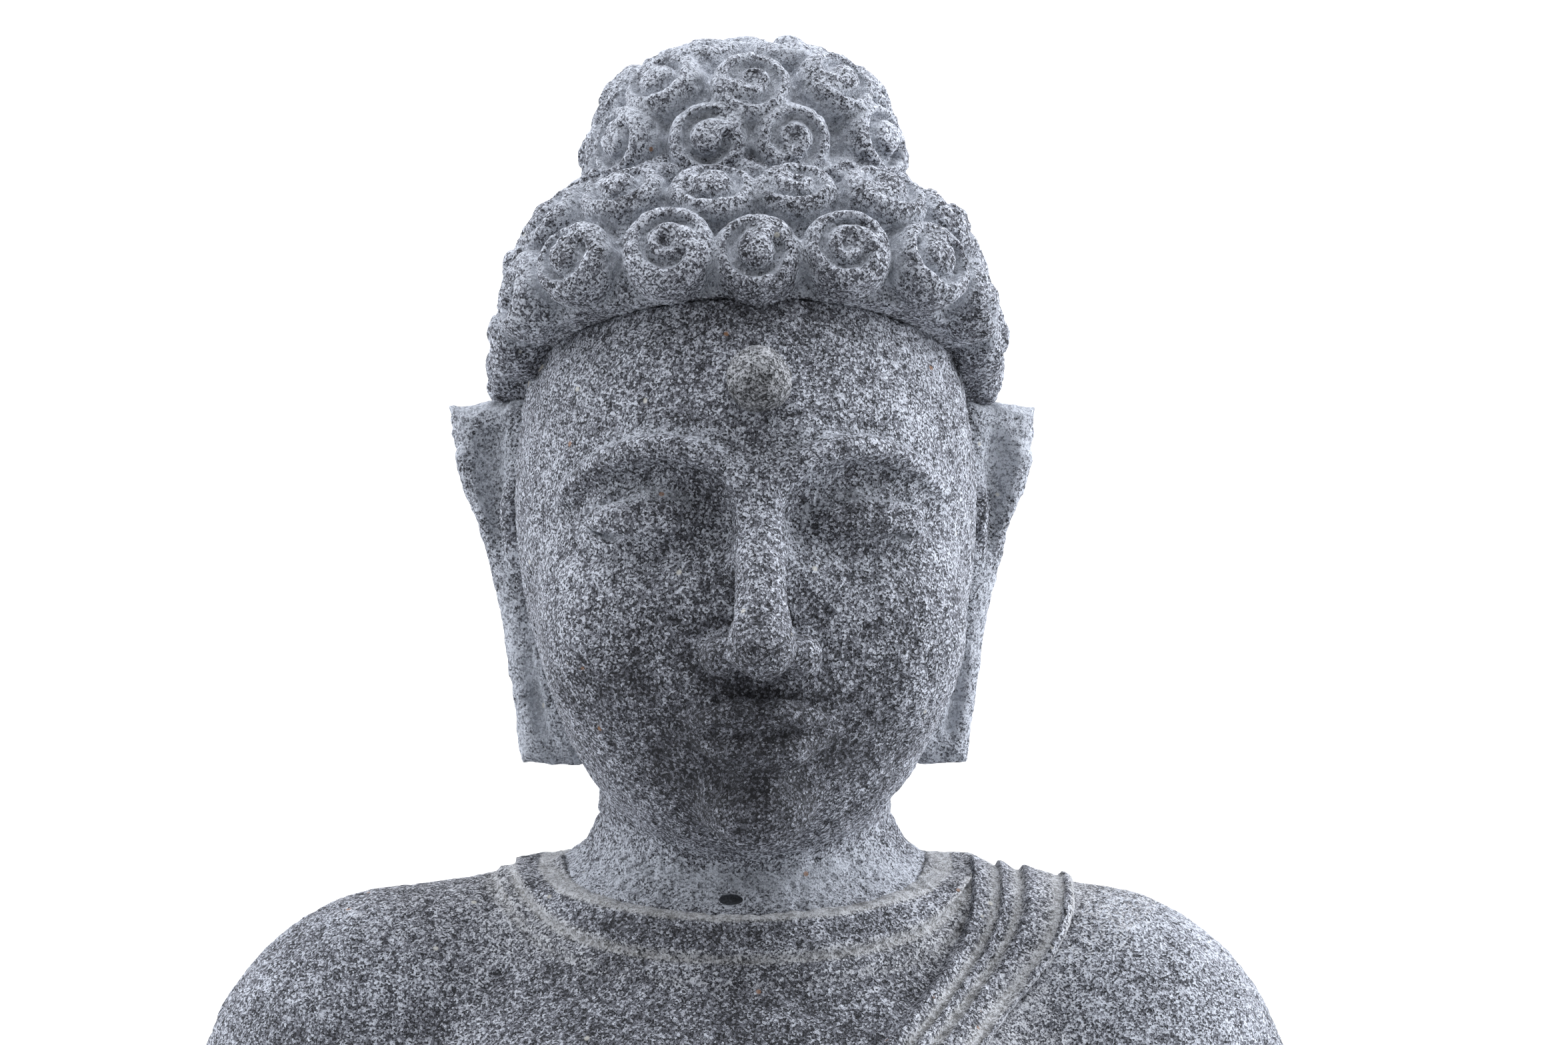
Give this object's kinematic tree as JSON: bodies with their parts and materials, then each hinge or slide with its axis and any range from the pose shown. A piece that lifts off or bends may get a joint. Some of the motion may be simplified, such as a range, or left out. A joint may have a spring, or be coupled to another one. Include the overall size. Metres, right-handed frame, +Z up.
{
  "type": "statue",
  "caption": "Seated robed figure in dark volcanic stone with snail-shell curls and long ears, cast in sections that are pinned and bedded on a low slab.",
  "frame": {"origin": "middle of the footprint, on the floor under the rubber pads", "axes": "+Z up, the figure faces -Y, and its own left side is +X"},
  "size_m": [0.47, 0.32, 0.6021],
  "materials": {
    "lava_stone": "fine vesicular volcanic stone, matt, with pale dust on the raised grain",
    "urna_stone": "denser dark volcanic stone, matt",
    "mortar": "grey cement mortar, matt",
    "dowel_steel": "plain stainless bar",
    "pad_rubber": "matt black rubber"
  },
  "bodies": {
    "root": {"rubber_pads": "pad_rubber", "base_slab": "lava_stone", "base_bed": "mortar", "base_dowels": "dowel_steel", "crossed_legs": "lava_stone", "waist_bed": "mortar", "waist_dowels": "dowel_steel", "torso": "lava_stone", "shoulder_sash": "lava_stone", "left_arm": "lava_stone", "right_arm": "lava_stone", "arm_pins": "dowel_steel", "folded_hands": "lava_stone", "hand_pins": "dowel_steel", "neck_bed": "mortar", "neck_dowel": "dowel_steel", "head": "lava_stone", "left_ear": "lava_stone", "right_ear": "lava_stone", "ear_pins": "dowel_steel", "hair_cap": "lava_stone", "hair_bed": "mortar", "hair_pin": "dowel_steel", "topknot": "lava_stone", "topknot_pin": "dowel_steel", "urna_bead": "urna_stone"}
  },
  "joints": []
}
